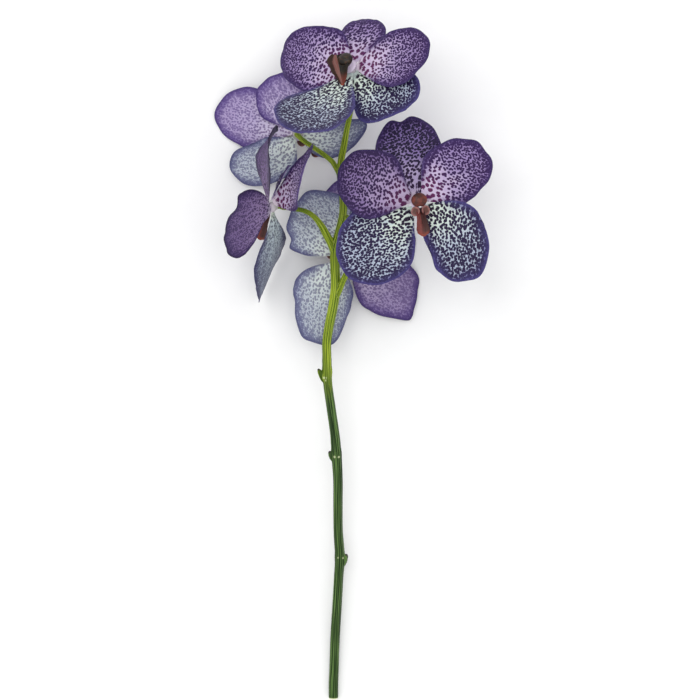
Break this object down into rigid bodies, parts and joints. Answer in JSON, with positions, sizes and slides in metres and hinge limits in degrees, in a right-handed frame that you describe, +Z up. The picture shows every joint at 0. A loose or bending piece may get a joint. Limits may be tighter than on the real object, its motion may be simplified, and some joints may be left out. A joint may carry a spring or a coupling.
{
  "type": "vanda orchid",
  "caption": "Cut orchid flower stem lying on a surface, with open round-petalled blooms in spotted violet and a maroon lip and column in each.",
  "frame": {"origin": "middle of the footprint, on the surface that the stem lies on", "axes": "+Y along the stem from its cut end to the top bloom, +Z up, +X to the right as seen from above"},
  "size_m": [0.1814, 0.448, 0.1094],
  "materials": {
    "petal_lilac": "soft satin petal, lilac-white with violet spots and a violet rim",
    "sepal_blue": "soft satin sepal, pale mint with navy-purple spots and a violet rim",
    "lip_maroon": "slightly glossy, brown maroon",
    "column_maroon": "waxy, brown maroon",
    "stem_green": "glossy green, ribbed along its length"
  },
  "bodies": {
    "root": {"stem": "stem_green", "right_dorsal_sepal": "petal_lilac", "right_petal_left": "petal_lilac", "right_petal_right": "petal_lilac", "right_lateral_sepal_left": "sepal_blue", "right_lateral_sepal_right": "sepal_blue", "right_lip": "lip_maroon", "right_column": "column_maroon", "top_dorsal_sepal": "petal_lilac", "top_petal_left": "petal_lilac", "top_petal_right": "petal_lilac", "top_lateral_sepal_left": "sepal_blue", "top_lateral_sepal_right": "sepal_blue", "top_lip": "lip_maroon", "top_column": "column_maroon", "back_dorsal_sepal": "petal_lilac", "back_petal_left": "petal_lilac", "back_petal_right": "petal_lilac", "back_lateral_sepal_left": "sepal_blue", "back_lateral_sepal_right": "sepal_blue", "back_lip": "lip_maroon", "back_column": "column_maroon", "low_dorsal_sepal": "petal_lilac", "low_petal_left": "petal_lilac", "low_petal_right": "petal_lilac", "low_lateral_sepal_left": "sepal_blue", "low_lateral_sepal_right": "sepal_blue", "low_lip": "lip_maroon", "low_column": "column_maroon", "side_dorsal_sepal": "petal_lilac", "side_petal_left": "petal_lilac", "side_petal_right": "petal_lilac", "side_lateral_sepal_left": "sepal_blue", "side_lateral_sepal_right": "sepal_blue", "side_lip": "lip_maroon", "side_column": "column_maroon"}
  },
  "joints": []
}
